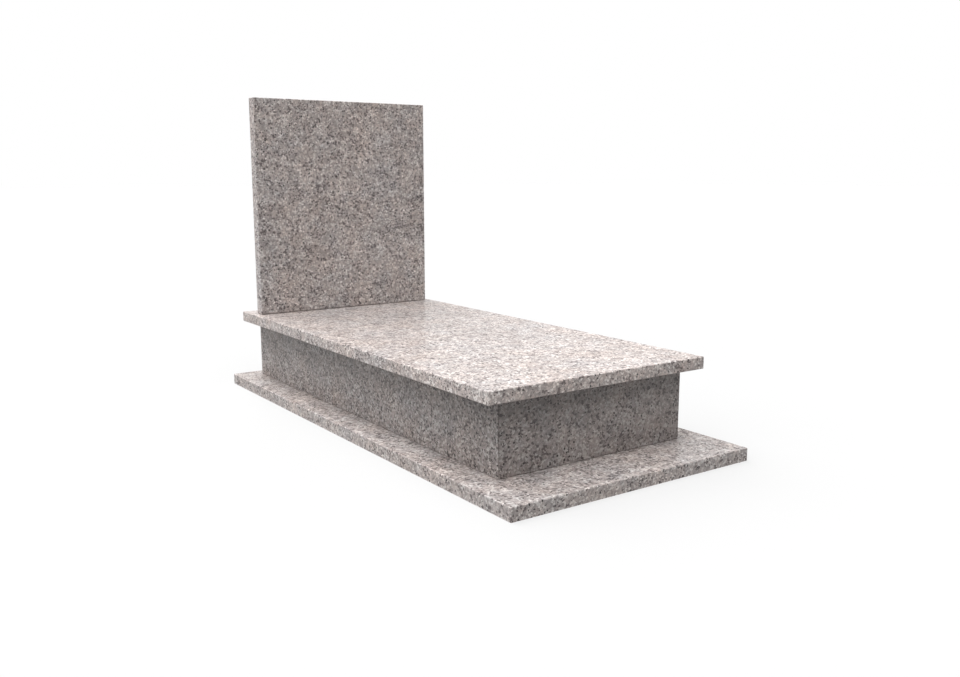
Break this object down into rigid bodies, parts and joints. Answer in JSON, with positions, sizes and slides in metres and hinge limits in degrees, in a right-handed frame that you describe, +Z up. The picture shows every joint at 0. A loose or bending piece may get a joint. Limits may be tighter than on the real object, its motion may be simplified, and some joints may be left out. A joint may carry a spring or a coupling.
{
  "type": "granite tombstone",
  "caption": "Single grave monument in polished granite: a low mitred box on a base of flat strips, closed by an overhanging cover slab with an upright rectangular headstone.",
  "frame": {"origin": "centre of the base's rectangle, on the ground under the monument", "axes": "+Z up, +Y along the grave from its foot towards the headstone, +X to the right of a visitor who stands at the foot and faces the headstone"},
  "size_m": [0.94, 2.005, 1.2],
  "materials": {
    "granite": "polished pink-grey granite with dark mica flecks; sawn on hidden faces",
    "filler": "stone-coloured mineral adhesive and joint filler, matt",
    "steel": "stainless steel, mill finish"
  },
  "bodies": {
    "root": {"base_front_strip": "granite", "base_back_strip": "granite", "base_left_strip": "granite", "base_right_strip": "granite", "base_joint_front_left": "filler", "base_joint_front_right": "filler", "base_joint_back_left": "filler", "base_joint_back_right": "filler", "front_wall_bed": "filler", "back_wall_bed": "filler", "left_wall_bed": "filler", "right_wall_bed": "filler", "front_wall": "granite", "back_wall": "granite", "left_wall": "granite", "right_wall": "granite", "wall_joint_front_left": "filler", "wall_joint_front_right": "filler", "wall_joint_back_left": "filler", "wall_joint_back_right": "filler", "corner_angle_front_left": "steel", "corner_angle_front_right": "steel", "corner_angle_back_left": "steel", "corner_angle_back_right": "steel", "front_cover_bed": "filler", "back_cover_bed": "filler", "left_cover_bed": "filler", "right_cover_bed": "filler", "cover_slab": "granite", "headstone_bed": "filler", "headstone_dowel_left": "steel", "headstone_dowel_right": "steel", "headstone": "granite"}
  },
  "joints": []
}
